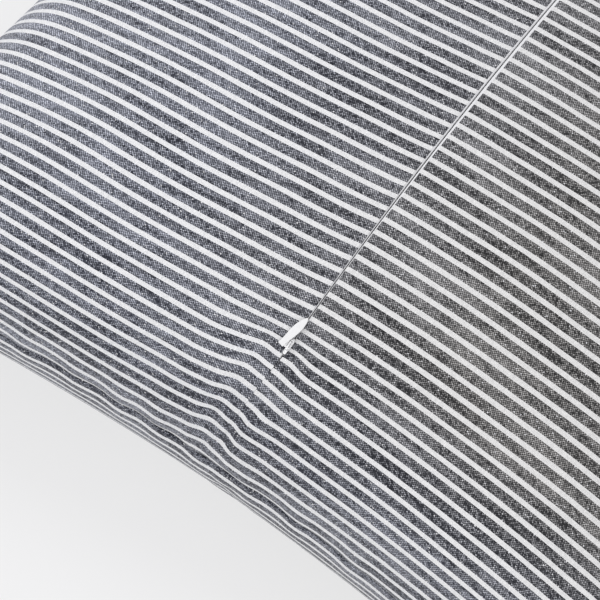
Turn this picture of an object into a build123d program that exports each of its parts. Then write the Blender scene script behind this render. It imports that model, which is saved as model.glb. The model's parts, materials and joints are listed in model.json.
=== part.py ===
from build123d import *
import os
from math import cos, degrees, pi, radians, sin, sqrt

# Square throw pillow lying on its front, with the zip of its back uppermost.
# +Z is up, +Y runs along the zip away from its closed end, and X runs along the woven
# stripes. The origin is at the middle of the base, on the surface the pillow rests on.
# All lengths are in millimetres.

# ---- driving dimensions: the cover ----
CORNER_REACH = 240.0      # centre to the edge seam, measured along X or Y at a corner
SIDE_DRAW = 0.129         # share of that reach by which the middle of each side draws in
CROWN = 94.0              # height of the back above the edge seam
BELLY = 72.0              # depth of the front below the edge seam
CROWN_RADIUS = 490.0      # radius of the crown along the zip, and across it
CROWN_SPAN = 182.0        # reach of that radius from the centre, before the side rolls over
REST_SHARE = 0.84         # share of the belly's fullness at which it flattens on the table
REST_BLEND = 0.10         # softness of the edge of that flattened patch
REST_PRESS = 0.3          # fabric pressed flat where the front lies on the table
SEAM_GAP = 2.4            # distance between back and front panels along the edge seam
FABRIC = 0.8              # thickness of the cover fabric

# ---- driving dimensions: the insert ----
INSERT_DEPTH = 6.4        # insert below the outside of the cover
CASING = 0.5              # thickness of the insert's casing
FILL_GAP = 0.3            # gap between the casing and the fill

# ---- driving dimensions: seams and the centre back opening ----
SLIT_HALF = 0.6           # half the slit between the folded edges of the back panels
SEAM_EDGE = 1.2           # edge seam's thread inside the outline
ALLOWANCE = 1.6           # two layers of fabric turned in along the edge seam
THREAD = 0.4              # sewing thread, laid as a line
FOLD_WIDTH = 12.0         # back panels' folded-under edges
FOLD_DEPTHS = (1.2, 1.9)  # top and underside of those folds below the crown
FOLD_REACH = 0.955        # share of the half span at which the folds stop at the edge seam
THREAD_TOP = 0.1          # top of the seam threads below the outside of the cover

# ---- driving dimensions: the zip ----
ZIP_REACH = 21.3          # degrees of the crown from the centre to each end of the zip
TAPE_WIDTH = 12.5
TAPE_DEPTHS = (2.1, 2.6)
COIL_WIDTH = 2.2
COIL_DEPTHS = (2.9, 4.4)
STOP_LENGTH = 2.4
STITCH_OFFSET = 6.0       # zip stitching from the zip's centre line
REST_ANGLE = 20.2         # degrees of the crown from the centre to the closed slider
PLATE_HALF = 4.2          # half width of the slider's back plate
PLATE_LENGTH = 9.0
PLATE_DEPTHS = (4.8, 5.5)
FLANGE = 0.8
NECK_WIDTH = 0.6
NECK_LENGTH = 4.0
FOOT_HEIGHTS = (0.45, 0.65)   # underside and top of the bridge's foot above the crown
FOOT_LENGTH = 8.4
FOOT_WIDTH = 1.8
BRIDGE_WIDTH = 0.8
BRIDGE_HALF = 1.9         # half length of the opening under the bridge's arch
BRIDGE_TOP = 3.1
BRIDGE_BAR = 0.8          # thickness of the arch at its top
BRIDGE_LEG = 0.5          # thickness of its legs

# ---- driving dimensions: the pull tab and its link ----
PULL_YAW = -11.8          # degrees by which the pull lies askew on its link
PULL_SIDE = 3.4           # middle of the pull's blunt end, to the left of the zip
PULL_BACK = 0.7           # and behind the hinge line
HINGE_BACK = 0.9          # hinge line behind the middle of the bridge
PULL_AXIS_HEIGHT = 1.5    # hinge line above the fabric
PULL_LENGTH = 17.4
PULL_THICKNESS = 0.9
PULL_WIDTH = 4.1
STEM_WIDTH = 2.9
STEM_LENGTH = 2.6
TIP_WIDTH = 1.2
LINK_THICKNESS = 0.5
LINK_WALL = 0.4
LINK_REACH = 2.6          # left edge of the link, under the pull
EYE_WIDTH = 1.9
EYE_LENGTH = 3.2
EYE_BAR = 0.4             # half width of the bar that closes the eye

GRID = 28                 # steps of the surface grid across half the pillow
EDGE_EASE = 2.5           # crowding of that grid towards the edge seam
HALF_SPAN = CORNER_REACH * (1 - SIDE_DRAW)
SEAM_HEIGHT = BELLY + SEAM_GAP / 2
CROWN_HEIGHT = SEAM_HEIGHT + SEAM_GAP / 2 + CROWN
ARC_CENTRE = CROWN_HEIGHT - CROWN_RADIUS
ZIP_AXIS = Axis((0, 0, ARC_CENTRE), (1, 0, 0))


def crown_profile(share):
    """Height of the crown, as a share of its full height, at a share of the half span."""
    reach = abs(share) * HALF_SPAN
    at_span = CROWN - CROWN_RADIUS + sqrt(CROWN_RADIUS ** 2 - CROWN_SPAN ** 2)
    if reach <= CROWN_SPAN:
        return (CROWN - CROWN_RADIUS + sqrt(CROWN_RADIUS ** 2 - reach ** 2)) / CROWN
    slope = CROWN_SPAN / sqrt(CROWN_RADIUS ** 2 - CROWN_SPAN ** 2)
    roll = (reach - CROWN_SPAN) / (HALF_SPAN - CROWN_SPAN)
    over = at_span * sqrt(max(0.0, 1 - roll ** 2))
    return (over - slope * (HALF_SPAN - CROWN_SPAN) * roll * (1 - roll)) / CROWN


def flattened(fullness):
    """Fullness of the belly once its lowest part lies flat, eased at the patch's edge."""
    share = fullness / REST_SHARE
    low, high = 1 - REST_BLEND, 1 + REST_BLEND
    if share <= low:
        return share
    if share >= high:
        return 1.0
    return share - (share - low) ** 2 / (4 * REST_BLEND)


def pillow_point(across, along, depth, back):
    """A point on the back or front skin, at shares of the plan and a depth inside it."""
    reach = CORNER_REACH - depth
    x = reach * across * (1 - SIDE_DRAW * (1 - along ** 2))
    y = reach * along * (1 - SIDE_DRAW * (1 - across ** 2))
    fullness = crown_profile(across) * crown_profile(along)
    if back:
        return Vector(x, y, SEAM_HEIGHT + SEAM_GAP / 2 + (CROWN - depth) * fullness)
    belly = BELLY + REST_PRESS - depth
    return Vector(x, y, SEAM_HEIGHT - SEAM_GAP / 2 - belly * flattened(fullness))


def eased_shares(low=-1.0, high=1.0):
    """Shares of the half span from low to high, crowded where the skin turns over."""
    shares = []
    for step in range(-GRID, GRID + 1):
        angle = step / GRID * pi / 2
        size = sqrt(1 - max(0.0, cos(angle)) ** EDGE_EASE)
        shares.append(size if step > 0 else -size)
    shares[0], shares[-1] = -1.0, 1.0
    return [low] + [share for share in shares if low + 0.01 < share < high - 0.01] + [high]


def even_shares(low, high, steps=3):
    """Evenly spaced shares of the half span."""
    return [low + (high - low) * step / steps for step in range(steps + 1)]


def skin(depth, back, across=None, along=None):
    """The grid of points of one skin, at a depth inside the cover."""
    columns = across or eased_shares()
    return [[pillow_point(a, b, depth, back) for a in columns] for b in along or eased_shares()]


def solid_between(upper, lower):
    """A closed solid between two grids of points, with narrow ruled sides."""
    faces = [Face.make_surface_from_array_of_points(grid) for grid in (upper, lower)]
    edges = [face.edges() for face in faces]
    sides = []
    for edge in edges[0]:
        partner = min(edges[1], key=lambda other: (other @ 0.5 - edge @ 0.5).length)
        sides.append(Face.make_surface_from_curves(edge, partner))
    return Solid(Shell([*faces, *sides]))


def outline(inset):
    """The edge seam's outline in plan, drawn in by an inset."""
    reach = CORNER_REACH - inset
    shares = even_shares(-1, 1, steps=24)
    side = [(reach * share, -reach * (1 - SIDE_DRAW * (1 - share ** 2))) for share in shares]
    turned = [[Vector(*point, 0).rotate(Axis.Z, 90 * turn) for point in side]
              for turn in range(4)]
    return make_face(Wire([Spline(*points) for points in turned]))


def edge_ring(inset, width, thickness, height=SEAM_HEIGHT):
    """A flat ring along the edge seam, centred on a height."""
    ring = outline(inset) - outline(inset + width)
    return Pos(0, 0, height - thickness / 2) * extrude(ring, thickness)


def crown_strip(x_low, x_high, depths, start, end):
    """A strip that follows the crown's arc between two angles from the centre."""
    low, high = CROWN_HEIGHT - depths[1], CROWN_HEIGHT - depths[0]
    section = Plane.XZ * Pos((x_low + x_high) / 2, (low + high) / 2) * Rectangle(
        x_high - x_low, high - low)
    strip = revolve(section, axis=ZIP_AXIS, revolution_arc=end - start)
    return strip.rotate(ZIP_AXIS, -end)


def at_rest(shape):
    """Carries a shape built at the crown's centre to the zip's closed end."""
    return shape.rotate(ZIP_AXIS, REST_ANGLE)


def block(x_span, y_span, depths):
    """A block under (positive depth) or over (negative depth) the crown's centre."""
    size = (x_span[1] - x_span[0], y_span[1] - y_span[0], depths[1] - depths[0])
    middle = ((x_span[0] + x_span[1]) / 2, (y_span[0] + y_span[1]) / 2,
              CROWN_HEIGHT - (depths[0] + depths[1]) / 2)
    return Pos(*middle) * Box(*size)


def back_layer(depths, across, along=None):
    """A layer of the back between two depths."""
    return solid_between(*(skin(depth, True, across, along) for depth in depths))


def cover_panels():
    """Front panel with its flat rest face, and the back in two halves that leave the slit."""
    slit = SLIT_HALF / HALF_SPAN
    front = solid_between(skin(FABRIC, False), skin(0, False))
    side = 2.2 * CORNER_REACH
    above_table = Pos(0, 0, SEAM_HEIGHT / 2) * Box(side, side, SEAM_HEIGHT)
    return {
        "front_panel": front & above_table,
        "back_panel_left": back_layer((0, FABRIC), eased_shares(-1.0, -slit)),
        "back_panel_right": back_layer((0, FABRIC), eased_shares(slit, 1.0)),
    }


def insert():
    """Casing in two halves, the thread that closes them and the loose fill."""
    inside = INSERT_DEPTH + CASING
    filled = inside + FILL_GAP
    return {
        "insert_casing_back": solid_between(
            skin(INSERT_DEPTH, True), skin(inside, True)),
        "insert_casing_front": solid_between(
            skin(inside, False), skin(INSERT_DEPTH, False)),
        "insert_seam_thread": edge_ring(INSERT_DEPTH - THREAD / 2, THREAD, SEAM_GAP / 2),
        "insert_fill": solid_between(skin(filled, True), skin(filled, False)),
    }


def edge_seam():
    """Thread of the edge seam and the fabric turned in along it."""
    return {
        "edge_seam_thread": edge_ring(SEAM_EDGE, THREAD, ALLOWANCE),
        "edge_seam_allowance": edge_ring(
            SEAM_EDGE + 2 * THREAD, INSERT_DEPTH - 4 * THREAD - SEAM_EDGE, ALLOWANCE),
    }


def centre_seam():
    """Folded edges of the back panels, and the seams that run on past the zip."""
    slit, fold = SLIT_HALF / HALF_SPAN, FOLD_WIDTH / HALF_SPAN
    half_thread = THREAD / HALF_SPAN
    past_zip = CROWN_RADIUS * sin(radians(ZIP_REACH + 0.3)) / HALF_SPAN
    along = eased_shares(-FOLD_REACH, FOLD_REACH)
    threads = [
        back_layer((THREAD_TOP, FOLD_DEPTHS[1]), even_shares(-half_thread, half_thread),
                   even_shares(*span, steps=8))
        for span in ((-FOLD_REACH, -past_zip), (past_zip, FOLD_REACH))]
    return {
        "back_fold_left": back_layer(FOLD_DEPTHS, even_shares(-slit - fold, -slit), along),
        "back_fold_right": back_layer(FOLD_DEPTHS, even_shares(slit, slit + fold), along),
        "centre_seam_thread": Compound(threads),
    }


def zip_chain():
    """Tapes, coil rows, stops and the lines of stitching that hold the tapes."""
    parts = {}
    stop = degrees(STOP_LENGTH / CROWN_RADIUS)
    coil_end = ZIP_REACH - 2 * stop
    depths = (TAPE_DEPTHS[1] + 0.1, TAPE_DEPTHS[1] + 0.1 + THREAD)
    for name, side in (("left", -1), ("right", 1)):
        for part, near, far, layer, end in (
            ("zip_tape_", SLIT_HALF, SLIT_HALF + TAPE_WIDTH, TAPE_DEPTHS, ZIP_REACH + 0.4),
            ("zip_coil_", SLIT_HALF, SLIT_HALF + COIL_WIDTH, COIL_DEPTHS, coil_end),
            ("zip_stitching_", STITCH_OFFSET, STITCH_OFFSET + THREAD, depths, ZIP_REACH),
        ):
            low, high = sorted((side * near, side * far))
            parts[part + name] = crown_strip(low, high, layer, -end, end)
    width = SLIT_HALF + COIL_WIDTH
    top_stops = [
        crown_strip(*span, COIL_DEPTHS, -ZIP_REACH, -ZIP_REACH + stop)
        for span in ((-width, -SLIT_HALF), (SLIT_HALF, width))]
    parts["zip_top_stops"] = Compound(top_stops)
    parts["zip_bottom_stop"] = crown_strip(
        -width, width, COIL_DEPTHS, ZIP_REACH - stop, ZIP_REACH)
    return parts


def slider():
    """Slider: a channel under the coils, a neck up through the slit, and the bridge."""
    half = PLATE_LENGTH / 2
    rim = TAPE_DEPTHS[1] + THREAD + 0.1
    body = block((-PLATE_HALF, PLATE_HALF), (-half, half), PLATE_DEPTHS)
    for side in (-1, 1):
        flange = sorted((side * (PLATE_HALF - FLANGE), side * PLATE_HALF))
        body += block(flange, (-half, half), (rim, PLATE_DEPTHS[0]))
    neck = NECK_WIDTH / 2
    body += block((-neck, neck), (-NECK_LENGTH / 2, NECK_LENGTH / 2),
                  (-FOOT_HEIGHTS[0], PLATE_DEPTHS[0]))
    foot = block((-FOOT_WIDTH / 2, FOOT_WIDTH / 2), (-FOOT_LENGTH / 2, FOOT_LENGTH / 2),
                 (-FOOT_HEIGHTS[1], -FOOT_HEIGHTS[0]))
    foot = fillet(foot.edges().filter_by(Axis.Z), FOOT_WIDTH / 2 - 0.05)
    arch_end = BRIDGE_HALF + BRIDGE_LEG
    arch = block((-BRIDGE_WIDTH / 2, BRIDGE_WIDTH / 2), (-arch_end, arch_end),
                 (-BRIDGE_TOP, -FOOT_HEIGHTS[1]))
    arch = fillet(arch.edges().filter_by(Axis.X).group_by(Axis.Z)[-1], BRIDGE_BAR)
    window = block((-1, 1), (-BRIDGE_HALF, BRIDGE_HALF),
                   (-BRIDGE_TOP + BRIDGE_BAR, -FOOT_HEIGHTS[1]))
    return {"slider_body": at_rest(body), "slider_bridge": at_rest(foot + (arch - window))}


def pull():
    """The lozenge tab, and the link under it whose eye hangs on the bridge."""
    half, stem, tip = PULL_WIDTH / 2, STEM_WIDTH / 2, TIP_WIDTH / 2
    with BuildSketch() as lozenge:
        with BuildLine():
            right = Spline(
                (stem, STEM_LENGTH), (half, 0.62 * PULL_LENGTH), (tip, PULL_LENGTH - 0.5),
                tangents=((0.05, 1), (-0.5, 1)))
            Line((stem, 0), right @ 0)
            Line((stem, 0), (-stem, 0))
            ThreePointArc(right @ 1, (0, PULL_LENGTH), (-(right @ 1).X, (right @ 1).Y))
            left = mirror(right, about=Plane.YZ)
            Line((-stem, 0), left @ 0)
        make_face()
    tab = Pos(0, 0, LINK_THICKNESS / 2) * extrude(lozenge.sketch, PULL_THICKNESS)
    tab = Pos(-PULL_SIDE, -PULL_BACK, 0) * Rot(0, 0, PULL_YAW) * tab
    right_edge, end = EYE_WIDTH / 2 + LINK_WALL, EYE_BAR + EYE_LENGTH + LINK_WALL
    link = Pos((right_edge - LINK_REACH) / 2, (end - EYE_BAR) / 2) * Box(
        right_edge + LINK_REACH, end + EYE_BAR, LINK_THICKNESS)
    link = fillet(link.edges().filter_by(Axis.Z), LINK_WALL)
    link -= Pos(0, EYE_BAR + EYE_LENGTH / 2) * Box(EYE_WIDTH, EYE_LENGTH, 1)
    hinge = Pos(0, -HINGE_BACK, CROWN_HEIGHT + PULL_AXIS_HEIGHT)
    return {"pull_tab": at_rest(hinge * tab), "pull_link": at_rest(hinge * link)}


def main():
    os.makedirs("parts", exist_ok=True)
    groups = (cover_panels, edge_seam, centre_seam, zip_chain, slider, pull, insert)
    for group in groups:
        for node, shape in group().items():
            export_step(shape, f"parts/{node}.step")
    hinge = at_rest(Pos(0, -HINGE_BACK, CROWN_HEIGHT + PULL_AXIS_HEIGHT) * Vertex(0, 0, 0))
    print("zip arc centre z", ARC_CENTRE, "pull hinge at", hinge.center())


main()
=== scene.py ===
import json
from math import cos, pi, radians, sin, sqrt

import bpy
import numpy as np
from mathutils import Matrix, Vector


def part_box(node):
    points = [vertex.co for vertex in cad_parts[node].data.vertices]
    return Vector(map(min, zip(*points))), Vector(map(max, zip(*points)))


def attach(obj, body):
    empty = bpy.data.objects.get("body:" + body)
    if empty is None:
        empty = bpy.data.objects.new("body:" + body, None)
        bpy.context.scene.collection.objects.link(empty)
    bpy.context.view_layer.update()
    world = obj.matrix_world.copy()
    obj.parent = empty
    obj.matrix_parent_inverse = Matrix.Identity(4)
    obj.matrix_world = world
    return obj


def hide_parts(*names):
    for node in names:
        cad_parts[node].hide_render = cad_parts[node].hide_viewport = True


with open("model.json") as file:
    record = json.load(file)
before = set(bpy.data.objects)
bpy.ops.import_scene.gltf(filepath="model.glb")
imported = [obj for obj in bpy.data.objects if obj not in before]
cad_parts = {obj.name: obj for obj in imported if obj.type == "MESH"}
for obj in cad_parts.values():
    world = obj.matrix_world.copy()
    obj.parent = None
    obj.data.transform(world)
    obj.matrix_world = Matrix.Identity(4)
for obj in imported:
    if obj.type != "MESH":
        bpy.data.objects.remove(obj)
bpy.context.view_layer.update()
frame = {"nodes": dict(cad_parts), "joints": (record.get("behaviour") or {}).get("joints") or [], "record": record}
NODES = frame["nodes"]
MM = 0.001

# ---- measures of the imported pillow, in metres ----
BACK_LOW, BACK_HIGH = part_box("back_panel_right")
FRONT_LOW, FRONT_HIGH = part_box("front_panel")
REACH = BACK_HIGH.y                              # centre to the edge seam at a corner
SIDE_DRAW = 0.129                                # share by which each side's middle draws in
HALF_SPAN = REACH * (1 - SIDE_DRAW)
SEAM_Z = (FRONT_HIGH.z + BACK_LOW.z) / 2
CROWN_Z = BACK_HIGH.z
CROWN = CROWN_Z - SEAM_Z                         # height of the back above the seam
BELLY = SEAM_Z - FRONT_LOW.z                     # depth of the front below it
JOINTS = {joint["name"]: joint for joint in frame["joints"]}
ARC_Z = JOINTS["slider_travel"]["pos_m"][2]      # centre of the crown's arc along the zip
ARC_RADIUS = CROWN_Z - ARC_Z
CROWN_SPAN = 0.182                               # reach of that arc from the middle
REST_SHARE, REST_BLEND = 0.84, 0.10              # how the belly flattens on the table

# ---- zip, threads and insert ----
ZIP_SPAN = 0.1785                # of cloth from the middle to each end of the zip
STITCH_X = 6.2 * MM              # zip stitching from the zip's middle
COIL_PITCH = 1.3 * MM
COIL_SHARE = 0.985               # of the zip's length, with the stops beyond it
COIL_MIDDLE, COIL_DEPTH = 1.65, 3.65               # mm from the zip's middle, and down
COIL_HALF_WIDTH, COIL_HALF_HEIGHT = 0.85, 0.55     # mm
STOP_SPANS = {"top": ((-2.5, -0.9), (0.9, 2.5)), "bottom": ((-2.5, 2.5),)}     # mm across
THREAD = 0.16 * MM               # radius of the sewing thread
SEAM_RUN = 0.186, 0.235          # of the centre seam, from the zip's end to the edge seam
CASING_DEPTH, FILL_DEPTH = 6.6 * MM, 8.4 * MM      # below the outside of the cover
CASING_SLACK = 0.35 * MM         # soft wrinkles of the insert's casing
# the allowances' section in mm: distance inside the edge seam, height above it
ALLOWANCE_SECTION = ((9, 0.45), (6, 0.45), (3, 0.42), (1.4, 0.35), (1.0, 0.0),
                     (1.4, -0.35), (3, -0.42), (6, -0.45), (9, -0.45))
# the tape's section in mm: from the zip's middle, share of the lip's gap added, depth
TAPE_SECTION = ((12.6, 0, 2.45), (6.0, 0, 2.4), (2.4, 0.5, 2.4), (1.3, 1, 2.0), (0.95, 1, 1.1),
                (0.75, 0.9, 0.6), (0.5, 0.6, 0.42), (0.38, 0.1, 0.6), (0.36, 0, 1.2), (0.4, 0, 2.6))

# ---- cloth ----
CUT_HALF = 0.254                 # half of the square each panel is cut to
CELLS = 104                      # cells of the simulated cloth across a panel
FRAMES = 26                      # steps of the simulation
PRESSURE = 1.0                   # of the filling, from inside
MOST_MOVE = 0.006                # most that the simulation may move a point
IN_PLANE = 0.25                  # share kept of its movement along the skin
FABRIC = 0.6 * MM                # thickness
FINE = 2.2 * MM                  # cell of the finished back
COARSE = 3.0 * MM                # cell of the finished front
FOLD = 11 * MM                   # width folded under
STRIPE = 7.31 * MM               # repeat of the woven stripe

CLOTH_LINE = np.linspace(-CUT_HALF, CUT_HALF, CELLS + 1)

# ---- lips of the zip, and folds: runs and places are in metres of cloth from the middle ----
CLOSED_END = -0.1785, -0.1752    # the lips part over this run at the zip's closed end
OPEN_END = 0.180, 0.185          # and meet again over this one
LIP_GAP = 0.30                   # mm from the zip's middle to each lip at the closed end
LIP_OPENING = {"left": 0.45, "right": 1.15}        # mm that the gap gains further up
OPENING_RUN = -0.150, 0.010      # over this run
MOUTH = 0.15 * MM, -0.1795, 0.0035                 # gap at the slider's foot: size, place, width
LIP_HEIGHT = 0.33, 0.47          # mm: half of it past the zip, and what it gains along the zip
LIP_ROUND = 0.12, 0.88           # share of that height that the lip rounds over, likewise
RIDGE = 1.3 * MM                 # fold beside the seam, past the zip's closed end
RIDGE_PLACE, RIDGE_LEAN, RIDGE_WIDTH = -0.017, 0.10, 0.0085
HOLLOWS = ((0.5, -0.040, 0.014), (0.4, 0.016, 0.012))   # share of the ridge, place, width
PAST_ZIP = -0.196, -0.172        # they set in over this run
NEAR_EDGE = -0.250, -0.226       # and end over this one
SEAM_WANDER = 5.2 * MM           # the seam beyond the zip runs off a little to the left
WANDER_RUN, WANDER_WIDTH = (0.175, 0.240), 0.03
UNDULATION = 0.5 * MM            # soft waves across the back
# gathers of the near edge: place across, and how far each draws in
PUCKERS = ((-0.122, 0.8 * MM), (-0.096, 1.0 * MM), (-0.072, 0.9 * MM), (-0.051, 1.3 * MM),
           (-0.032, 1.0 * MM), (-0.012, 1.4 * MM), (0.001, 0.9 * MM), (0.013, 1.2 * MM),
           (0.037, 1.1 * MM), (0.066, 0.9 * MM))
PUCKER_WIDTH = 5.5 * MM
EDGE_WAVE = 0.7 * MM             # of the other three edges
EDGE_BAND = 0.228, 0.252         # gathers and waves grow over this run, up to the edge
EDGE_CREASE = 1.0 * MM           # how far the edge seam pulls in
CREASE_RUN = 0.2495, CUT_HALF


# ---- run of the stripes on the two back panels: shifts in mm, reaches in units of 0.1 m ----
STRIPE_START = {"left": 18.9, "right": 21.6}       # at the zip
STRIPE_SKEW = {"left": -1.3, "right": 3.2}         # slope away from the zip
STRIPE_BOW = {"left": 3.1, "right": 3.8}           # rise with the square of that distance
STRIPE_FAN = {"left": -0.7, "right": 1.0}          # change of the slope along the zip
STRIPE_SPREAD = {"left": -3.2, "right": 0.0}       # change of the bow along the zip
STRIPE_WAVE = {"left": 0.8, "right": 0.0}          # one slow wave across
STRIPE_TUCK = {"left": 5.2, "right": -1.9}         # pull of the zip on the cloth beside it
TUCK_FADE = {"left": 0.25, "right": 0.4}
TUCK_EASE = {"left": 0.4, "right": 1.0}            # how much of it ends with the zip
STRIPE_GATHER = {"left": 3.1, "right": 4.0}        # towards the near edge
STRIPE_SWELL = 2.2                                 # rise over the last of the slope
STRIPE_BULGE = {"left": 1.6, "right": 0.0}         # hump beside the seam past the zip
STRIPE_SLIP = {"left": 2.8, "right": 2.2}          # rise at that seam
SLIP_RUN = {"left": (0.10, 0.34), "right": (0.0, 0.16)}
SLIP_EASE = {"left": 0.0, "right": 0.105}          # how much shorter its run gets
STRIPE_PINCH = {"left": 0.0, "right": 0.9}         # small hump beside the slider's foot
STRIPE_JOG = {"left": 0.9, "right": 0.6}           # dip near the seam, low on the slope
JOG_RUN = {"left": (0.0, 0.09), "right": (0.09, 0.05)}

PANEL_PAINTED_LIGHT_CAST = {"left": 0.5, "right": 0.65, "front": 0.5}      # painted light in each panel's colour: 0 a cooler, lighter cast, 1 a warmer, darker one


# ============================ shape of the pillow ============================

def crown_profile(share):
    """Height of the crown, as a share of the whole, at a share of the half span."""
    reach = np.abs(share) * HALF_SPAN
    side = sqrt(ARC_RADIUS ** 2 - CROWN_SPAN ** 2)
    at_span = CROWN - ARC_RADIUS + side
    roll = np.clip((reach - CROWN_SPAN) / (HALF_SPAN - CROWN_SPAN), 0, 1)
    over = at_span * np.sqrt(np.maximum(1 - roll ** 2, 0))
    over -= CROWN_SPAN / side * (HALF_SPAN - CROWN_SPAN) * roll * (1 - roll)
    arc = CROWN - ARC_RADIUS + np.sqrt(np.maximum(ARC_RADIUS ** 2 - reach ** 2, 0))
    return np.where(reach <= CROWN_SPAN, arc, over) / CROWN


def flattened(fullness):
    """Fullness of the belly once its lowest part lies flat."""
    share = fullness / REST_SHARE
    low, high = 1 - REST_BLEND, 1 + REST_BLEND
    eased = share - (share - low) ** 2 / (4 * REST_BLEND)
    return np.where(share <= low, share, np.where(share >= high, 1.0, eased))


def pillow_points(across, along, back):
    """Points of the back or front skin at shares of the plan."""
    x = REACH * across * (1 - SIDE_DRAW * (1 - along ** 2))
    y = REACH * along * (1 - SIDE_DRAW * (1 - across ** 2))
    fullness = crown_profile(across) * crown_profile(along)
    z = SEAM_Z + CROWN * fullness if back else SEAM_Z - BELLY * flattened(fullness)
    return np.stack([x, y, z], -1)


def shares_of_cloth(cloth, back):
    """Shares of the plan under points of the flat cloth, by length along the middle."""
    share = np.sin(np.linspace(-pi / 2, pi / 2, 2001))
    line = pillow_points(np.zeros_like(share), share, back)
    run = np.concatenate([[0], np.cumsum(np.linalg.norm(np.diff(line, axis=0), axis=1))])
    return np.interp(cloth / CUT_HALF * run[-1] / 2, run - run[-1] / 2, share)


def dome_grid(cloth, back):
    """The skin over a square grid of flat cloth coordinates."""
    shares = shares_of_cloth(cloth, back)
    along, across = np.meshgrid(shares, shares, indexing="ij")
    return pillow_points(across, along, back)


def quads(index, flip=False):
    """Faces of a grid of vertex numbers."""
    corners = [index[:-1, :-1], index[:-1, 1:], index[1:, 1:], index[1:, :-1]]
    faces = np.stack(corners, -1).reshape(-1, 4)
    return (faces[:, ::-1] if flip else faces).tolist()


def grid_normals(grid):
    normal = np.cross(np.gradient(grid, axis=1), np.gradient(grid, axis=0))
    return normal / np.maximum(np.linalg.norm(normal, axis=-1, keepdims=True), 1e-12)


def new_mesh(name, points, faces):
    """A mesh object in the scene."""
    mesh = bpy.data.meshes.new(name)
    mesh.from_pydata(np.asarray(points).tolist(), [], faces)
    mesh.update()
    made = bpy.data.objects.new(name, mesh)
    bpy.context.scene.collection.objects.link(made)
    return made


def simulated_cover():
    """Back and front grids of the cover after its flat-cut cloth settles on the fill."""
    cloth = CLOTH_LINE
    back, front = dome_grid(cloth, True), dome_grid(cloth, False)
    inner = np.zeros(back.shape[:2], bool)
    inner[1:-1, 1:-1] = True
    top = np.arange(inner.size).reshape(inner.shape)
    bottom = top.copy()
    bottom[inner] = inner.size + np.arange(inner.sum())
    dome = np.concatenate([back.reshape(-1, 3), front[inner]])
    along, across = np.meshgrid(cloth, cloth, indexing="ij")
    flat = np.stack([across, along, 0 * across], -1)
    flat = np.concatenate([flat.reshape(-1, 3), flat[inner]])
    cover = new_mesh("cover_cloth", dome, quads(top) + quads(bottom, True))
    cover.shape_key_add(name="settled")
    cut = cover.shape_key_add(name="cut")
    cut.data.foreach_set("co", flat.astype(np.float32).ravel())
    cut.value = 0.0
    seam = cover.vertex_groups.new(name="edge_seam")
    seam.add([int(i) for i in top[~inner]], 1.0, "REPLACE")
    cloth_modifier = cover.modifiers.new("cloth", "CLOTH")
    settings = cloth_modifier.settings
    settings.rest_shape_key = cut
    settings.vertex_group_mass = "edge_seam"
    settings.quality = 4
    settings.mass = 0.3
    settings.tension_stiffness = 25
    settings.compression_stiffness = 25
    settings.shear_stiffness = 8
    settings.bending_stiffness = 0.5
    settings.tension_damping = settings.compression_damping = settings.shear_damping = 4
    settings.use_pressure = True
    settings.uniform_pressure_force = PRESSURE
    settings.air_damping = 1
    settings.effector_weights.gravity = 0
    cloth_modifier.collision_settings.use_collision = False
    cloth_modifier.point_cache.frame_end = FRAMES
    scene = bpy.context.scene
    for step in range(1, FRAMES + 1):
        scene.frame_set(step)
    settled = cover.evaluated_get(bpy.context.evaluated_depsgraph_get()).data
    moved = np.empty(len(dome) * 3, np.float32)
    settled.vertices.foreach_get("co", moved)
    move = moved.reshape(-1, 3) - dome
    bpy.data.objects.remove(cover)
    scene.frame_set(1)
    return back + settled_part(back, move[top]), front + settled_part(front, move[bottom])


def settled_part(grid, move):
    """The part of the cloth's movement that is kept: mostly square to the skin, and capped."""
    normal = grid_normals(grid)
    square = (move * normal).sum(-1, keepdims=True) * normal
    kept = square + IN_PLANE * (move - square)
    size = np.linalg.norm(kept, axis=-1, keepdims=True)
    return kept * (MOST_MOVE / np.maximum(size, MOST_MOVE))


class Skin:
    """A smooth surface through a grid of points over the flat cloth."""

    def __init__(self, grid):
        self.grid = grid
        self.cells = len(grid) - 1

    @staticmethod
    def weights(t):
        """Catmull-Rom weights of four neighbouring points."""
        return np.stack([((2 - t) * t - 1) * t, (3 * t - 5) * t * t + 2,
                         ((4 - 3 * t) * t + 1) * t, (t - 1) * t * t], -1) / 2

    def at(self, across, along):
        """Points over flat cloth coordinates, in metres from the middle."""
        found = 0
        places = []
        for cloth in (across, along):
            place = np.clip((cloth / CUT_HALF + 1) / 2 * self.cells, 0, self.cells - 1e-9)
            cell = np.floor(place).astype(int)
            near = np.clip(cell[..., None] + np.arange(-1, 3), 0, self.cells)
            places.append((near, self.weights(place - cell)))
        (columns, column_weights), (rows, row_weights) = places
        for row in range(4):
            for column in range(4):
                weight = row_weights[..., row] * column_weights[..., column]
                found = found + weight[..., None] * self.grid[rows[..., row], columns[..., column]]
        return found

    def normal(self, across, along, step=1.5 * MM):
        """Unit normals, pointing up on the back."""
        over = self.at(across + step, along) - self.at(across - step, along)
        up = self.at(across, along + step) - self.at(across, along - step)
        normal = np.cross(over, up)
        return normal / np.maximum(np.linalg.norm(normal, axis=-1, keepdims=True), 1e-12)


def smooth_step(value, low, high):
    share = np.clip((value - low) / (high - low), 0, 1)
    return share * share * (3 - 2 * share)


def on_zip(grid):
    """Brings the middle of the back onto the zip's straight, circular line."""
    middle = grid[:, CELLS // 2]
    y = middle[:, 1]
    arc = ARC_Z + np.sqrt(ARC_RADIUS ** 2 - y ** 2)
    kept = 1 - smooth_step(np.abs(y), 0.184, 0.196)
    lift = (arc - middle[:, 2]) * kept
    near = np.exp(-(CLOTH_LINE / 0.030) ** 2)
    grid = grid.copy()
    grid[..., 2] += lift[:, None] * near
    grid[..., 0] -= middle[:, 0][:, None] * near
    return grid


def hump(value, middle, width):
    return np.exp(-((value - middle) / width) ** 2)


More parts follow.
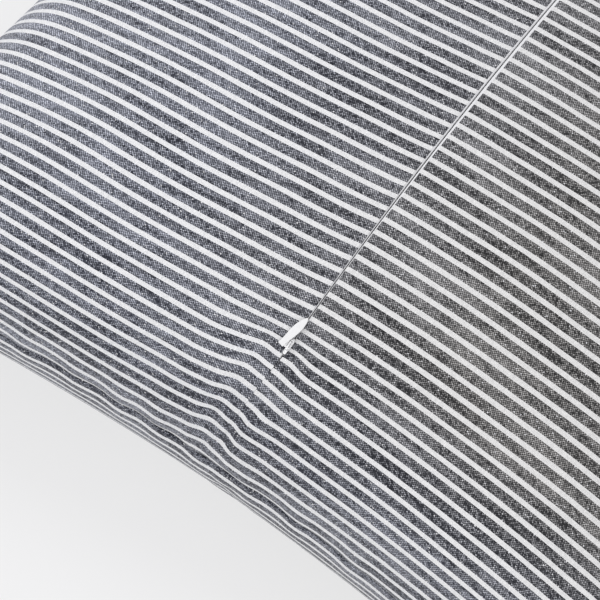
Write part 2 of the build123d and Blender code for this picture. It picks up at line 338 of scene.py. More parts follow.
def sculpt(grid):
    """The folds that the seam's end, the edge seam and handling leave in the back."""
    along, across = np.meshgrid(CLOTH_LINE, CLOTH_LINE, indexing="ij")
    past_zip = 1 - smooth_step(along, *PAST_ZIP)
    at_edge = smooth_step(along, *NEAR_EDGE)
    place = RIDGE_PLACE - RIDGE_LEAN * (along + 0.18)
    rise = RIDGE * hump(across, place, RIDGE_WIDTH) * past_zip * at_edge
    for share, place, width in HOLLOWS:
        rise -= share * RIDGE * hump(across, place, width) * past_zip * at_edge
    away = smooth_step(np.abs(across), 0.012, 0.050) * (1 - smooth_step(np.abs(along), 0.18, 0.23))
    wave = np.sin(2 * pi * (across - 0.35 * along) / 0.085 + 1.3)
    wave += 0.6 * np.sin(2 * pi * (across + 0.55 * along) / 0.133)
    rise += UNDULATION * wave * away
    grid = grid + grid_normals(grid) * rise[..., None]
    wander = SEAM_WANDER * hump(across, 0, WANDER_WIDTH)
    grid[..., 0] -= wander * smooth_step(-along, *WANDER_RUN)
    return grid


def gathered(grid):
    """The small gathers that the edge seam draws into both panels alike."""
    along, across = np.meshgrid(CLOTH_LINE, CLOTH_LINE, indexing="ij")
    grid = grid.copy()
    for place, size in PUCKERS:
        near = smooth_step(-along, *EDGE_BAND)
        grid[..., 1] -= size * hump(across, place, PUCKER_WIDTH) * near
    wave = np.sin(2 * pi * CLOTH_LINE / 0.031) + 0.7 * np.sin(2 * pi * CLOTH_LINE / 0.047 + 1)
    wave = EDGE_WAVE * wave * (1 - smooth_step(np.abs(CLOTH_LINE), 0.19, 0.23))
    grid[..., 1] += wave[None, :] * smooth_step(along, *EDGE_BAND)
    grid[..., 0] += wave[:, None] * smooth_step(across, *EDGE_BAND)
    grid[..., 0] -= wave[:, None] * smooth_step(-across, *EDGE_BAND)
    grid[..., 0] -= EDGE_CREASE * np.sign(across) * smooth_step(np.abs(across), *CREASE_RUN)
    grid[..., 1] -= EDGE_CREASE * np.sign(along) * smooth_step(np.abs(along), *CREASE_RUN)
    return grid


# ============================ finished fabric pieces ============================

def fabric_mesh(name, points, cloth, flip=False):
    """A sheet through a grid of points, with its flat cloth coordinates in millimetres."""
    index = np.arange(points.shape[0] * points.shape[1]).reshape(points.shape[:2])
    made = new_mesh(name, points.reshape(-1, 3), quads(index, flip))
    attribute = made.data.attributes.new("cloth", "FLOAT_VECTOR", "POINT")
    data = np.concatenate([cloth / MM, np.zeros(cloth.shape[:2] + (1,))], -1)
    attribute.data.foreach_set("vector", data.astype(np.float32).ravel())
    made.data.polygons.foreach_set("use_smooth", [True] * len(made.data.polygons))
    return made


def thicken(piece, thickness=FABRIC):
    """Gives a sheet its thickness, inwards."""
    modifier = piece.modifiers.new("thickness", "SOLIDIFY")
    modifier.thickness = thickness
    modifier.offset = -1
    modifier.use_even_offset = False


def zip_share(along):
    """1 along the zip, 0 where the seam beyond its ends is sewn shut."""
    return smooth_step(along, *CLOSED_END) * (1 - smooth_step(along, *OPEN_END))


def lip_gap(along, side):
    """From the zip's middle to the folded lip, on one side."""
    upper = smooth_step(along, *OPENING_RUN)
    size, place, width = MOUTH
    mouth = size * hump(along, place, width)
    wide = (LIP_GAP + LIP_OPENING["right" if side > 0 else "left"] * upper) * MM
    return zip_share(along) * wide + mouth


def lip_radius(along):
    """Half the height of the folded lip, and how far it rounds over."""
    height = (LIP_HEIGHT[0] + LIP_HEIGHT[1] * zip_share(along)) * MM
    return height, height * (LIP_ROUND[0] + LIP_ROUND[1] * zip_share(along))


def back_half(skin, side):
    """One back panel: from the edge seam to the zip, over its lip and folded under."""
    steps = round(2 * CUT_HALF / FINE)
    along = np.linspace(-CUT_HALF, CUT_HALF, steps + 1)
    lip, over = lip_radius(along)
    start = lip_gap(along, side) + over
    shares = np.insert(np.linspace(1, 0, steps // 2) ** 1.06, -1, 0.0004)
    columns = start[:, None] + (CUT_HALF - start[:, None]) * shares[None, :]
    rows = np.repeat(along[:, None], columns.shape[1], 1)
    flat = skin.at(side * columns, rows)
    cloth = np.stack([side * columns, rows], -1)
    base = skin.at(side * start, along)
    normal = skin.normal(side * start, along)
    inward = -side * np.array([1.0, 0, 0])
    turned, turned_cloth = [], []
    for angle in np.linspace(0, pi, 9)[1:]:
        around = sin(angle) * over[:, None] * inward - (1 - cos(angle)) * lip[:, None] * normal
        turned.append(base + around)
        turned_cloth.append(np.stack([side * (start - lip * angle), along], -1))
    room = 1 - smooth_step(np.abs(along), 0.225, 0.250)
    for reach in (2 * MM, 5 * MM, 8 * MM, FOLD):
        out = side * (start + reach * room)
        under = skin.at(out, along) - 2 * lip[:, None] * skin.normal(out, along)
        turned.append(under)
        turned_cloth.append(np.stack([side * (start - lip * pi - reach), along], -1))
    points = np.concatenate([flat, np.stack(turned, 1)], 1)
    cloth = np.concatenate([cloth, np.stack(turned_cloth, 1)], 1)
    return points, cloth


def stripe_drift(cloth, name):
    """How far the stripes lie from where a true square cut would put them."""
    out, on = np.abs(cloth[..., 0]) / 0.1, (cloth[..., 1] + 0.1) / 0.1
    sewn = 1 - smooth_step(cloth[..., 1], -0.180, -0.160)
    deep = 1 - smooth_step(cloth[..., 1], -0.216, -0.198)
    drift = STRIPE_START[name] + STRIPE_SKEW[name] * out + STRIPE_BOW[name] * out ** 2
    drift += (STRIPE_FAN[name] + STRIPE_SPREAD[name] * out) * out * on
    drift += STRIPE_TUCK[name] * np.exp(-out / TUCK_FADE[name]) * (1 - TUCK_EASE[name] * sewn)
    drift += STRIPE_GATHER[name] * (1 - smooth_step(cloth[..., 1], -0.200, -0.138))
    drift += STRIPE_SWELL * hump(cloth[..., 1], -0.219, 0.022)
    drift += STRIPE_WAVE[name] * np.cos(2 * pi * (out - 0.1) / 1.5)
    drift += STRIPE_BULGE[name] * (1 + 0.4 * deep) * hump(out, 0.09, 0.055) * sewn
    run_end = SLIP_RUN[name][1] - SLIP_EASE[name] * deep
    drift += STRIPE_SLIP[name] * (1 - smooth_step(out, SLIP_RUN[name][0], run_end)) * sewn
    drift += STRIPE_PINCH[name] * hump(out, 0.05, 0.045) * hump(cloth[..., 1], -0.175, 0.007)
    return (drift - STRIPE_JOG[name] * hump(out, *JOG_RUN[name]) * deep) * MM


def make_back(skin):
    for name, side in (("left", -1), ("right", 1)):
        points, cloth = back_half(skin, side)
        cloth[..., 1] -= stripe_drift(cloth, name)
        piece = fabric_mesh(f"cover_back_{name}", points, cloth, flip=side > 0)
        thicken(piece)
        piece.data.materials.append(striped_cloth(f"striped_cloth_{name}", PANEL_PAINTED_LIGHT_CAST[name]))
        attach(piece, "cover")
        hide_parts(f"back_panel_{name}", f"back_fold_{name}")


def make_front(skin):
    line = np.linspace(-CUT_HALF, CUT_HALF, int(2 * CUT_HALF / COARSE) + 1)
    along, across = np.meshgrid(line, line, indexing="ij")
    points = skin.at(across, along)
    points[..., 2] = np.maximum(points[..., 2], FRONT_LOW.z)
    piece = fabric_mesh("cover_front", points, np.stack([across, along], -1), flip=True)
    thicken(piece)
    piece.data.materials.append(striped_cloth("striped_cloth_front", PANEL_PAINTED_LIGHT_CAST["front"]))
    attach(piece, "cover")
    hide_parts("front_panel")


# ============================ zip, seams and insert ============================

def sheet_piece(name, points, flip=False, thickness=None):
    """A soft piece through a grid of points."""
    index = np.arange(points.shape[0] * points.shape[1]).reshape(points.shape[:2])
    piece = new_mesh(name, points.reshape(-1, 3), quads(index, flip))
    piece.data.polygons.foreach_set("use_smooth", [True] * len(piece.data.polygons))
    if thickness:
        thicken(piece, thickness)
        piece.modifiers["thickness"].offset = 0
    return piece


def tubes(name, lines, radius, sides=6):
    """Round threads along lines of points, each with rounded ends."""
    points, faces = [], []
    turn = np.linspace(0, 2 * pi, sides, endpoint=False)
    for line in lines:
        line = np.asarray(line)
        ahead = np.gradient(line, axis=0)
        ahead /= np.maximum(np.linalg.norm(ahead, axis=1, keepdims=True), 1e-12)
        aside = np.cross(ahead, [0.13, 0.21, 0.97])
        aside /= np.maximum(np.linalg.norm(aside, axis=1, keepdims=True), 1e-12)
        over = np.cross(ahead, aside)
        taper = np.full(len(line), radius)
        taper[[0, -1]] *= 0.35
        ring = np.cos(turn)[:, None] * aside[:, None] + np.sin(turn)[:, None] * over[:, None]
        first = sum(len(part) for part in points)
        points.append((line[:, None] + taper[:, None, None] * ring).reshape(-1, 3))
        for row in range(len(line) - 1):
            for side in range(sides):
                a, b = first + row * sides + side, first + row * sides + (side + 1) % sides
                faces.append((a, a + sides, b + sides, b))
        faces.append(tuple(first + side for side in range(sides)))
        last = first + (len(line) - 1) * sides
        faces.append(tuple(last + side for side in reversed(range(sides))))
    piece = new_mesh(name, np.concatenate(points), faces)
    piece.data.polygons.foreach_set("use_smooth", [len(face) == 4 for face in faces])
    return piece


def finish_piece(piece, material, slot, body, *nodes):
    piece.data.materials.append(material)
    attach(piece, body)
    if nodes:
        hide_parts(*nodes)
    return piece


def under(skin, across, along, depth):
    """Points at a depth under the back."""
    return skin.at(across, along) - skin.normal(across, along) * np.asarray(depth)[..., None]


def stitches(skin, across, low, high, depth, length=3.0 * MM, gap=0.7 * MM):
    """A row of lockstitches as short threads under the back."""
    rows = []
    for start in np.arange(low, high - length, length):
        along = np.linspace(start + gap / 2, start + length - gap / 2, 5)
        dip = np.array([0.25, 0.02, 0, 0.02, 0.25]) * MM
        rows.append(under(skin, np.full(5, across), along, depth + dip))
    return rows


def zip_tapes(skin, material):
    """Each tape runs under the folded panel and rolls up between the lips."""
    along = np.linspace(-ZIP_SPAN, ZIP_SPAN, 241)
    for name, side in (("left", -1), ("right", 1)):
        wide = lip_gap(along, side) * zip_share(along)
        columns = []
        for out, extra, depth in TAPE_SECTION:
            x = out * MM + extra * wide
            columns.append(under(skin, side * x, along, np.full_like(along, depth * MM)))
        piece = sheet_piece(f"woven_tape_{name}", np.stack(columns, 1), side > 0, 0.28 * MM)
        finish_piece(piece, material, "zip_tape", "cover", f"zip_tape_{name}")


def zip_coils(skin, material):
    """Each coil row is a flattened nylon spiral."""
    turns = int(2 * ZIP_SPAN * COIL_SHARE / COIL_PITCH)
    step = np.arange(turns * 8 + 1)
    for name, side in (("left", -1), ("right", 1)):
        angle = step / 8 * 2 * pi
        along = -ZIP_SPAN * COIL_SHARE + step / 8 * COIL_PITCH
        x = side * (COIL_MIDDLE + COIL_HALF_WIDTH * np.cos(angle)) * MM
        depth = (COIL_DEPTH + COIL_HALF_HEIGHT * np.sin(angle)) * MM
        piece = tubes(f"coil_spiral_{name}", [under(skin, x, along, depth)], 0.2 * MM)
        finish_piece(piece, material, "zip_coil", "cover", f"zip_coil_{name}")


def zip_stops(skin, material):
    """Stops crimped over the ends of the coils."""
    for name, where in (("top", -1), ("bottom", 1)):
        lines = []
        for low, high in STOP_SPANS[name]:
            for end in np.linspace(0.2, 1.9, 4):
                x = np.linspace(low, high, 7) * MM
                along = np.full(7, where * (ZIP_SPAN - end * MM))
                arch = 3.6 + 0.25 * np.linspace(-1, 1, 7) ** 2
                lines.append(under(skin, x, along, arch * MM))
        piece = tubes(f"zip_{name}_stop_crimp", lines, 0.42 * MM)
        node = "zip_top_stops" if name == "top" else "zip_bottom_stop"
        finish_piece(piece, material, "zip_coil", "cover", node)


def seam_threads(skin, thread):
    for name, side in (("left", -1), ("right", 1)):
        rows = stitches(skin, side * STITCH_X, -ZIP_SPAN, ZIP_SPAN, 2.65 * MM)
        piece = tubes(f"zip_stitches_{name}", rows, THREAD)
        finish_piece(piece, thread, "sewing_thread", "cover", f"zip_stitching_{name}")
    near, far = SEAM_RUN
    rows = stitches(skin, 0.0, -far, -near, 1.2 * MM) + stitches(skin, 0.0, near, far, 1.2 * MM)
    piece = tubes("centre_seam_stitches", rows, THREAD)
    finish_piece(piece, thread, "sewing_thread", "cover", "centre_seam_thread")


def edge_path(skin, inset, count):
    """A line all round, level with the edge seam and at a distance inside it."""
    line = np.linspace(-CUT_HALF, CUT_HALF, count, endpoint=False)
    end = np.full(count, CUT_HALF)
    edge = skin.at(np.concatenate([line, end, -line, -end]),
                   np.concatenate([-end, line, end, -line]))
    ahead = np.roll(edge, -1, 0) - np.roll(edge, 1, 0)
    inward = np.stack([-ahead[:, 1], ahead[:, 0], 0 * ahead[:, 0]], 1)
    inward /= np.linalg.norm(inward, axis=1, keepdims=True)
    centre = -edge * [1, 1, 0]
    centre /= np.linalg.norm(centre, axis=1, keepdims=True)
    corner = smooth_step(np.abs(np.tile(line, 4)) / CUT_HALF, 0.86, 1.0)[:, None]
    inward = inward * (1 - corner) + centre * corner
    return edge + inward / np.linalg.norm(inward, axis=1, keepdims=True) * inset


def edge_seam(skin, cloth, thread):
    """The allowances folded in along the edge seam, and the thread that closes it."""
    columns = []
    for inset, layer in ALLOWANCE_SECTION:
        line = edge_path(skin, inset * MM, 150)
        line[:, 2] += layer * MM
        columns.append(np.concatenate([line, line[:1]]))
    piece = sheet_piece("edge_allowance", np.stack(columns, 1), False, 0.35 * MM)
    finish_piece(piece, cloth, "cover_fabric", "cover", "edge_seam_allowance")
    line = edge_path(skin, 1.9 * MM, 700)
    rows = [line[i:i + 4] for i in range(0, len(line) - 4, 5)]
    piece = tubes("edge_stitches", rows, THREAD)
    finish_piece(piece, thread, "sewing_thread", "cover", "edge_seam_thread")


def inner_grid(outer, depth, back):
    """A skin inside the cover that follows the cover's own folds."""
    shares = shares_of_cloth(CLOTH_LINE, back)
    along, across = np.meshgrid(shares, shares, indexing="ij")
    dome = pillow_points(across, along, back)
    share = 1 - depth / REACH
    height = (CROWN if back else BELLY) - depth
    inner = dome.copy()
    inner[..., :2] *= share
    inner[..., 2] = SEAM_Z + (dome[..., 2] - SEAM_Z) * height / (height + depth)
    edge = np.maximum(np.abs(across), np.abs(along))
    fade = 1 - smooth_step(edge, 0.90, 0.995)
    return inner + (outer - dome) * fade[..., None]


def make_insert(back, front, casing, fill, thread):
    """The insert: a bag in two halves, its closing thread, and the fibre that fills it."""
    for name, outer, is_back in (("back", back, True), ("front", front, False)):
        grid = inner_grid(outer, CASING_DEPTH, is_back)
        slack = CASING_SLACK * np.sin(CLOTH_LINE * 210)[:, None]
        slack = slack * np.sin(CLOTH_LINE * 170 + 1)[None, :]
        grid = grid + grid_normals(grid) * slack[..., None]
        piece = sheet_piece(f"casing_{name}", grid, not is_back, 0.4 * MM)
        finish_piece(piece, casing, "insert_casing", "cover", f"insert_casing_{name}")
    skins = [sheet_piece("fill_back", inner_grid(back, FILL_DEPTH, True), False),
             sheet_piece("fill_front", inner_grid(front, FILL_DEPTH, False), True)]
    bpy.ops.object.select_all(action="DESELECT")
    for half in skins:
        half.select_set(True)
    bpy.context.view_layer.objects.active = skins[0]
    bpy.ops.object.join()
    fibre = skins[0]
    fibre.name = "fibre_fill"
    weld = fibre.modifiers.new("weld", "WELD")
    weld.merge_threshold = 0.4 * MM
    finish_piece(fibre, fill, "insert_fill", "cover", "insert_fill")
    line = edge_path(Skin(inner_grid(back, CASING_DEPTH, True)), 1.2 * MM, 700)
    piece = tubes("insert_stitches", [line[i:i + 4] for i in range(0, len(line) - 4, 5)], THREAD)
    finish_piece(piece, thread, "sewing_thread", "cover", "insert_seam_thread")


def rounded(node, width, material, slot, body):
    """A hard part with its edges eased, in place of the CAD node."""
    source = NODES[node]
    mesh = source.data.copy()
    piece = bpy.data.objects.new(f"{node}_eased", mesh)
    bpy.context.scene.collection.objects.link(piece)
    piece.matrix_world = source.matrix_world.copy()
    mesh.materials.clear()
    weld = piece.modifiers.new("weld", "WELD")
    weld.merge_threshold = 0.002 * MM
    bevel = piece.modifiers.new("bevel", "BEVEL")
    bevel.width = width
    bevel.segments = 3
    bevel.limit_method = "ANGLE"
    bevel.angle_limit = radians(40)
    mesh.polygons.foreach_set("use_smooth", [True] * len(mesh.polygons))
    finish_piece(piece, material, slot, body, node)


# ============================ materials ============================

class Nodes:
    """Short calls for building a material's nodes."""

    def __init__(self, name):
        self.material = bpy.data.materials.new(name)
        self.material.use_nodes = True
        self.tree = self.material.node_tree
        self.shader = self.tree.nodes["Principled BSDF"]

    def add(self, kind, inputs=None, **settings):
        node = self.tree.nodes.new(kind)
        for key, value in settings.items():
            setattr(node, key, value)
        for key, value in (inputs or {}).items():
            self.put(node.inputs[key], value)
        return node

    def put(self, socket, value):
        if isinstance(value, bpy.types.NodeSocket):
            self.tree.links.new(value, socket)
        else:
            socket.default_value = value

    def math(self, operation, first, second=0.0, third=0.0, clamp=False):
        node = self.add("ShaderNodeMath", {0: first, 1: second, 2: third}, operation=operation)
        node.use_clamp = clamp
        return node.outputs[0]

    def mix(self, share, first, second, blend="MIX"):
        node = self.add("ShaderNodeMix", data_type="RGBA", blend_type=blend)
        self.put(node.inputs[0], share)
        self.put(node.inputs[6], first)
        self.put(node.inputs[7], second)
        return node.outputs[2]

    def noise(self, vector, scale, detail=2.0, roughness=0.5):
        node = self.add("ShaderNodeTexNoise", {
            "Vector": vector, "Scale": scale, "Detail": detail, "Roughness": roughness})
        return node.outputs["Fac"]

    def cells(self, vector):
        """A random value for each whole-number cell."""
        return self.add("ShaderNodeTexWhiteNoise", {"Vector": vector},
                        noise_dimensions="3D").outputs["Value"]

    def combine(self, x=0.0, y=0.0, z=0.0):
        return self.add("ShaderNodeCombineXYZ", {"X": x, "Y": y, "Z": z}).outputs[0]

    def range(self, value, low, high, to_low=0.0, to_high=1.0):
        return self.add("ShaderNodeMapRange", {
            "Value": value, "From Min": low, "From Max": high,
            "To Min": to_low, "To Max": to_high}).outputs[0]


def striped_cloth(name, painted_light_cast):
    """Yarn-dyed plain weave: white and dark warp stripes under a pale weft."""
    yarns = 12                        # warp yarns in one repeat of the stripe
    white_yarns = 4
    yarn = STRIPE / MM / yarns        # millimetres from yarn to yarn
    n = Nodes(name)
    place = n.add("ShaderNodeAttribute", attribute_name="cloth")
    split = n.add("ShaderNodeSeparateXYZ", {0: place.outputs["Vector"]})
    u, v = split.outputs[0], split.outputs[1]
    # painted light: cooler and lighter towards the left and down the near slope, warmer and darker towards the
    # right
    painted_light_cast = n.math("ADD", painted_light_cast, n.range(u, -90.0, 90.0, -0.5, 0.5))
    painted_light_cast = n.math("MULTIPLY", painted_light_cast, n.range(v, -245.0, -165.0, 0.1, 1.0), clamp=True)
    waver = n.noise(n.combine(n.math("MULTIPLY", u, 0.06), n.math("MULTIPLY", v, 0.5)), 1.0)
    v = n.math("ADD", v, n.math("MULTIPLY", n.math("SUBTRACT", waver, 0.5), 0.5))
    sway = n.noise(n.combine(n.math("MULTIPLY", u, 0.5), n.math("MULTIPLY", v, 0.06), 4.0), 1.0)
    u = n.math("ADD", u, n.math("MULTIPLY", sway, 1.2))
    warp = n.math("DIVIDE", v, yarn)
    weft = n.math("DIVIDE", u, yarn)
    warp_cell, weft_cell = n.math("FLOOR", warp), n.math("FLOOR", weft)
    first = n.math("ADD", warp_cell, white_yarns / 2)
    in_repeat = n.math("FLOORED_MODULO", first, float(yarns))
    is_white = n.math("LESS_THAN", in_repeat, float(white_yarns) - 0.5)
    parity = n.math("FLOORED_MODULO", n.math("ADD", warp_cell, weft_cell), 2.0)
    cell = n.cells(n.combine(warp_cell, weft_cell))
    warp_line = n.cells(n.combine(warp_cell, 3.0))
    slub = n.noise(n.combine(n.math("MULTIPLY", u, 0.055), n.math("MULTIPLY", v, 0.42)), 1.0, 3.0)
    patch = n.noise(n.combine(n.math("MULTIPLY", u, 0.012), n.math("MULTIPLY", v, 0.03)), 1.0, 2.0)
    tone = n.math("ADD", n.range(slub, 0.3, 0.7, -0.5, 0.5), n.range(patch, 0.3, 0.7, -0.5, 0.5))
    # painted light: the cloth is lighter towards the left, where the lamps fall on it most
    tone = n.math("ADD", tone, n.range(u, -60.0, -170.0, 0.0, 0.45))
    # painted shade: darker down the near slope
    tone = n.math("ADD", tone, n.range(v, -150.0, -215.0, 0.0, -0.2))
    shade = n.math("MULTIPLY", tone, 0.55)
    shade = n.math("ADD", n.math("MULTIPLY", warp_line, 0.5), shade, clamp=True)
    deep = n.mix(painted_light_cast, (0.006, 0.007, 0.013, 1), (0.007, 0.007, 0.007, 1))
    # the lighter dark yarn: partly each yarn's own fading, partly the painted light and shade carried by the tone
    faded_and_lit = n.mix(painted_light_cast, (0.090, 0.097, 0.132, 1), (0.082, 0.079, 0.078, 1))
    dark = n.mix(shade, deep, faded_and_lit)
    light = n.mix(painted_light_cast, (0.76, 0.79, 0.89, 1), (0.71, 0.695, 0.68, 1))
    grey = n.mix(painted_light_cast, (0.034, 0.037, 0.054, 1), (0.036, 0.035, 0.036, 1))
    pair = n.cells(n.combine(n.math("FLOOR", n.math("MULTIPLY", warp, 0.5)),
                             n.math("FLOOR", n.math("MULTIPLY", weft, 0.5)), 9.0))
    bright = n.math("ADD", n.math("MULTIPLY", cell, 0.55), n.math("MULTIPLY", pair, 0.25))
    bright = n.math("SUBTRACT", bright, 0.05)
    bright = n.math("ADD", bright, n.math("MULTIPLY", tone, 0.28), clamp=True)
    pale = n.mix(bright, grey, light)
    speck = n.math("GREATER_THAN", n.cells(n.combine(weft_cell, warp_cell, 5.0)), 0.985)
    pale = n.mix(n.math("MULTIPLY", speck, 0.8), pale, (0.80, 0.80, 0.82, 1))
    dark_cloth = n.mix(parity, dark, pale)
    thin = n.mix(painted_light_cast, (0.75, 0.755, 0.77, 1), (0.70, 0.695, 0.685, 1))
    full = n.mix(painted_light_cast, (0.89, 0.89, 0.895, 1), (0.84, 0.835, 0.82, 1))
    white = n.mix(cell, thin, full)
    white_cloth = n.mix(n.math("MULTIPLY", parity, 0.22), white, (0.55, 0.56, 0.60, 1))
    colour = n.mix(is_white, dark_cloth, white_cloth)
    along_warp = n.math("ABSOLUTE", n.math("SINE", n.math("MULTIPLY", warp, pi)))
    along_weft = n.math("ABSOLUTE", n.math("SINE", n.math("MULTIPLY", weft, pi)))
    high = n.mix(parity, along_warp, along_weft)      # the yarn on top rounds off sideways
    # painted shade: each yarn drawn darker where it rounds off at its sides
    yarn_rim_shade = n.mix(high, (0.78, 0.78, 0.78, 1), (1, 1, 1, 1))
    n.put(n.shader.inputs["Base Color"], n.mix(1.0, colour, yarn_rim_shade, "MULTIPLY"))
    bump = n.add("ShaderNodeBump", {"Height": high, "Strength": 0.5, "Distance": 0.00025})
    n.put(n.shader.inputs["Normal"], bump.outputs[0])
    n.shader.inputs["Roughness"].default_value = 0.88
    n.shader.inputs["Specular IOR Level"].default_value = 0.25
    n.shader.inputs["Sheen Weight"].default_value = 0.25
    n.shader.inputs["Sheen Roughness"].default_value = 0.45
    return n.material


def enamel():
    """Gloss white paint on die-cast metal, with a faint orange peel."""
    n = Nodes("white_enamel")
    place = n.add("ShaderNodeTexCoord").outputs["Object"]
    n.put(n.shader.inputs["Base Color"],
          n.mix(n.noise(place, 900.0), (0.70, 0.70, 0.71, 1), (0.79, 0.79, 0.79, 1)))
    peel = n.noise(place, 2500.0)
    bump = n.add("ShaderNodeBump", {"Height": peel, "Strength": 0.15, "Distance": 0.0001})
    n.put(n.shader.inputs["Normal"], bump.outputs[0])
    n.put(n.shader.inputs["Roughness"], n.range(peel, 0.3, 0.7, 0.2, 0.34))
    n.shader.inputs["Coat Weight"].default_value = 0.5
    n.shader.inputs["Coat Roughness"].default_value = 0.08
    return n.material


def bright_metal():
    """Polished die-cast zinc with rubbed patches."""
    n = Nodes("slider_metal")
    place = n.add("ShaderNodeTexCoord").outputs["Object"]
    rub = n.noise(place, 1400.0, 3.0)
    n.put(n.shader.inputs["Base Color"], n.mix(rub, (0.82, 0.82, 0.83, 1), (0.95, 0.95, 0.95, 1)))
    n.put(n.shader.inputs["Roughness"], n.range(rub, 0.3, 0.7, 0.25, 0.45))
    n.shader.inputs["Metallic"].default_value = 1.0
    bump = n.add("ShaderNodeBump", {"Height": rub, "Strength": 0.1, "Distance": 0.0001})
    n.put(n.shader.inputs["Normal"], bump.outputs[0])
    return n.material


def plain_weave(name, low, high, yarn):
    """A plain woven ribbon or casing in one colour, by object coordinates."""
    n = Nodes(name)
    place = n.add("ShaderNodeTexCoord").outputs["Object"]
    split = n.add("ShaderNodeSeparateXYZ", {0: place})
    waves = []
    for axis in (0, 1):
        wave = n.math("MULTIPLY", split.outputs[axis], pi / yarn)
        waves.append(n.math("ABSOLUTE", n.math("SINE", wave)))
    weave = n.math("MULTIPLY", waves[0], waves[1])
    tone = n.math("ADD", n.math("MULTIPLY", weave, 0.6),
                  n.math("MULTIPLY", n.noise(place, 160.0), 0.4))
    n.put(n.shader.inputs["Base Color"], n.mix(tone, low, high))
    bump = n.add("ShaderNodeBump", {"Height": weave, "Strength": 0.4, "Distance": 0.0002})
    n.put(n.shader.inputs["Normal"], bump.outputs[0])
    n.shader.inputs["Roughness"].default_value = 0.85
    n.shader.inputs["Sheen Weight"].default_value = 0.2
    return n.material


def nylon():
    """Satin nylon of the coil and stops."""
    n = Nodes("nylon_coil")
    place = n.add("ShaderNodeTexCoord").outputs["Object"]
    drawn = n.noise(place, 1200.0)
    n.put(n.shader.inputs["Base Color"], n.mix(drawn, (0.62, 0.62, 0.63, 1), (0.78, 0.78, 0.78, 1)))
    n.put(n.shader.inputs["Roughness"], n.range(drawn, 0.3, 0.7, 0.32, 0.5))
    n.shader.inputs["Subsurface Weight"].default_value = 0.05
    bump = n.add("ShaderNodeBump", {"Height": drawn, "Strength": 0.1, "Distance": 0.0001})
    n.put(n.shader.inputs["Normal"], bump.outputs[0])
    return n.material


def spun_thread(name, low, high):
    """Twisted sewing thread."""
    n = Nodes(name)
    place = n.add("ShaderNodeTexCoord").outputs["Object"]
    twist = n.add("ShaderNodeTexWave", {"Vector": place, "Scale": 1800.0, "Distortion": 2.0},
                  bands_direction="DIAGONAL").outputs["Fac"]
    n.put(n.shader.inputs["Base Color"], n.mix(twist, low, high))
    bump = n.add("ShaderNodeBump", {"Height": twist, "Strength": 0.4, "Distance": 0.0001})
    n.put(n.shader.inputs["Normal"], bump.outputs[0])
    n.shader.inputs["Roughness"].default_value = 0.75
    return n.material


def pale_floor():
    """A pale table that glows a little, so the shadows on it stay pale."""
    n = Nodes("pale_floor")
    place = n.add("ShaderNodeTexCoord").outputs["Object"]
    n.put(n.shader.inputs["Base Color"],
          n.mix(n.noise(place, 3.0), (0.195, 0.195, 0.20, 1), (0.205, 0.205, 0.208, 1)))
    n.shader.inputs["Roughness"].default_value = 0.9
    n.shader.inputs["Emission Color"].default_value = (1.0, 1.0, 1.0, 1)
    n.shader.inputs["Emission Strength"].default_value = FLOOR_GLOW
    return n.material


# ============================ scene ============================

CAMERA_TURN, CAMERA_RISE, CAMERA_ROLL = 21.1, 61.4, 15.4   # degrees
CAMERA_AWAY = 2.5
CAMERA_LENS = 329.7
CAMERA_AIM = (-0.0042, -0.1603, SEAM_Z + 0.0929)
FLOOR_GLOW = 0.65


def camera():
    data = bpy.data.cameras.new("camera")
    data.lens = CAMERA_LENS
    data.sensor_width = 36.0
    data.clip_end = 20
    made = bpy.data.objects.new("camera", data)
    bpy.context.scene.collection.objects.link(made)
    turn, rise = radians(CAMERA_TURN), radians(CAMERA_RISE)
    away = Vector((sin(turn) * cos(rise), -cos(turn) * cos(rise), sin(rise)))
    made.matrix_world = (Matrix.Translation(Vector(CAMERA_AIM) + away * CAMERA_AWAY)
                         @ away.to_track_quat("Z", "Y").to_matrix().to_4x4()
                         @ Matrix.Rotation(radians(CAMERA_ROLL), 4, "Z"))
    bpy.context.scene.camera = made


def area_light(name, place, aim, size, power, colour=(1, 1, 1)):
    data = bpy.data.lights.new(name, "AREA")
    data.shape = "DISK"
    data.size = size
    data.energy = power
    data.color = colour
    made = bpy.data.objects.new(name, data)
    bpy.context.scene.collection.objects.link(made)
    made.location = place
    made.rotation_euler = (Vector(place) - Vector(aim)).to_track_quat("Z", "Y").to_euler()


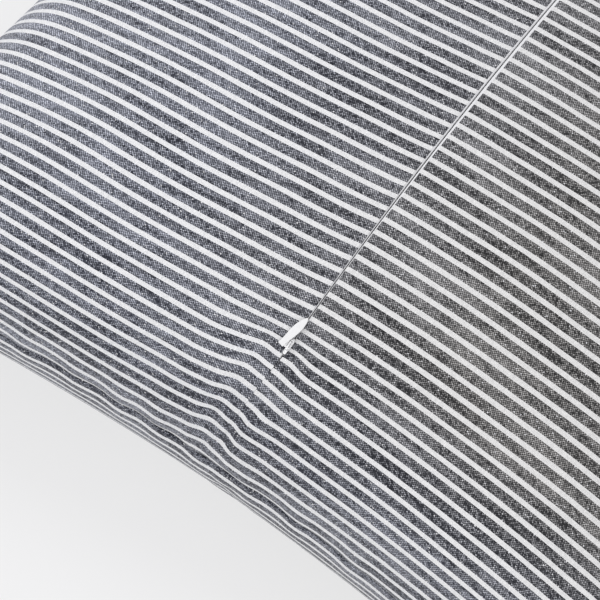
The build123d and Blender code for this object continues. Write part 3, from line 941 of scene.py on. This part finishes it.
def studio():
    floor = new_mesh("floor", [(-6, -6, 0), (6, -6, 0), (6, 6, 0), (-6, 6, 0)], [(0, 1, 2, 3)])
    floor.data.materials.append(pale_floor())
    world = bpy.data.worlds.new("studio")
    world.use_nodes = True
    background = world.node_tree.nodes["Background"]
    background.inputs[0].default_value = (0.975, 0.97, 0.985, 1)
    background.inputs[1].default_value = 0.8
    bpy.context.scene.world = world
    area_light("key", (-1.4, 0.5, 1.9), (0, 0, 0.1), 1.0, 17, (0.97, 0.98, 1.0))
    area_light("fill", (0.3, -1.7, 1.6), (0, 0, 0.1), 1.4, 14, (0.985, 0.98, 0.985))
    bpy.context.scene.view_settings.view_transform = "Standard"


def make_materials():
    return {
        "zip_tape": plain_weave("zip_tape", (0.62, 0.62, 0.64, 1), (0.86, 0.86, 0.87, 1), 0.0004),
        "zip_coil": nylon(),
        "sewing_thread": spun_thread("sewing_thread", (0.03, 0.03, 0.05, 1), (0.09, 0.09, 0.13, 1)),
        "insert_casing": plain_weave("insert_casing", (0.70, 0.70, 0.69, 1), (0.86, 0.86, 0.85, 1),
                                     0.0009),
        "insert_fill": plain_weave("insert_fill", (0.78, 0.78, 0.77, 1), (0.9, 0.9, 0.9, 1), 0.004),
        "slider_metal": bright_metal(),
        "pull_enamel": enamel(),
        "cover_fabric": plain_weave("cloth_inside", (0.06, 0.065, 0.08, 1), (0.35, 0.35, 0.38, 1),
                                    0.0005),
    }


def dress_cad_nodes(made):
    """Materials of the CAD nodes, whether shown or replaced."""
    slots = {part["node"]: part["material_slot"] for part in frame["record"]["subparts"]}
    for name, node in NODES.items():
        node.data.materials.clear()
        node.data.materials.append(made[slots[name]])


def main():
    made = make_materials()
    dress_cad_nodes(made)
    back, front = simulated_cover()
    back, front = gathered(sculpt(on_zip(back))), gathered(front)
    front[..., 2] = np.maximum(front[..., 2], FRONT_LOW.z)
    skin, belly = Skin(back), Skin(front)
    make_back(skin)
    make_front(belly)
    zip_tapes(skin, made["zip_tape"])
    zip_coils(skin, made["zip_coil"])
    zip_stops(skin, made["zip_coil"])
    seam_threads(skin, made["sewing_thread"])
    edge_seam(skin, made["cover_fabric"], made["sewing_thread"])
    make_insert(back, front, made["insert_casing"], made["insert_fill"], made["sewing_thread"])
    rounded("pull_tab", 0.28 * MM, made["pull_enamel"], "pull_enamel", "pull")
    rounded("pull_link", 0.16 * MM, made["slider_metal"], "slider_metal", "pull")
    rounded("slider_bridge", 0.18 * MM, made["slider_metal"], "slider_metal", "slider")
    studio()
    camera()


main()
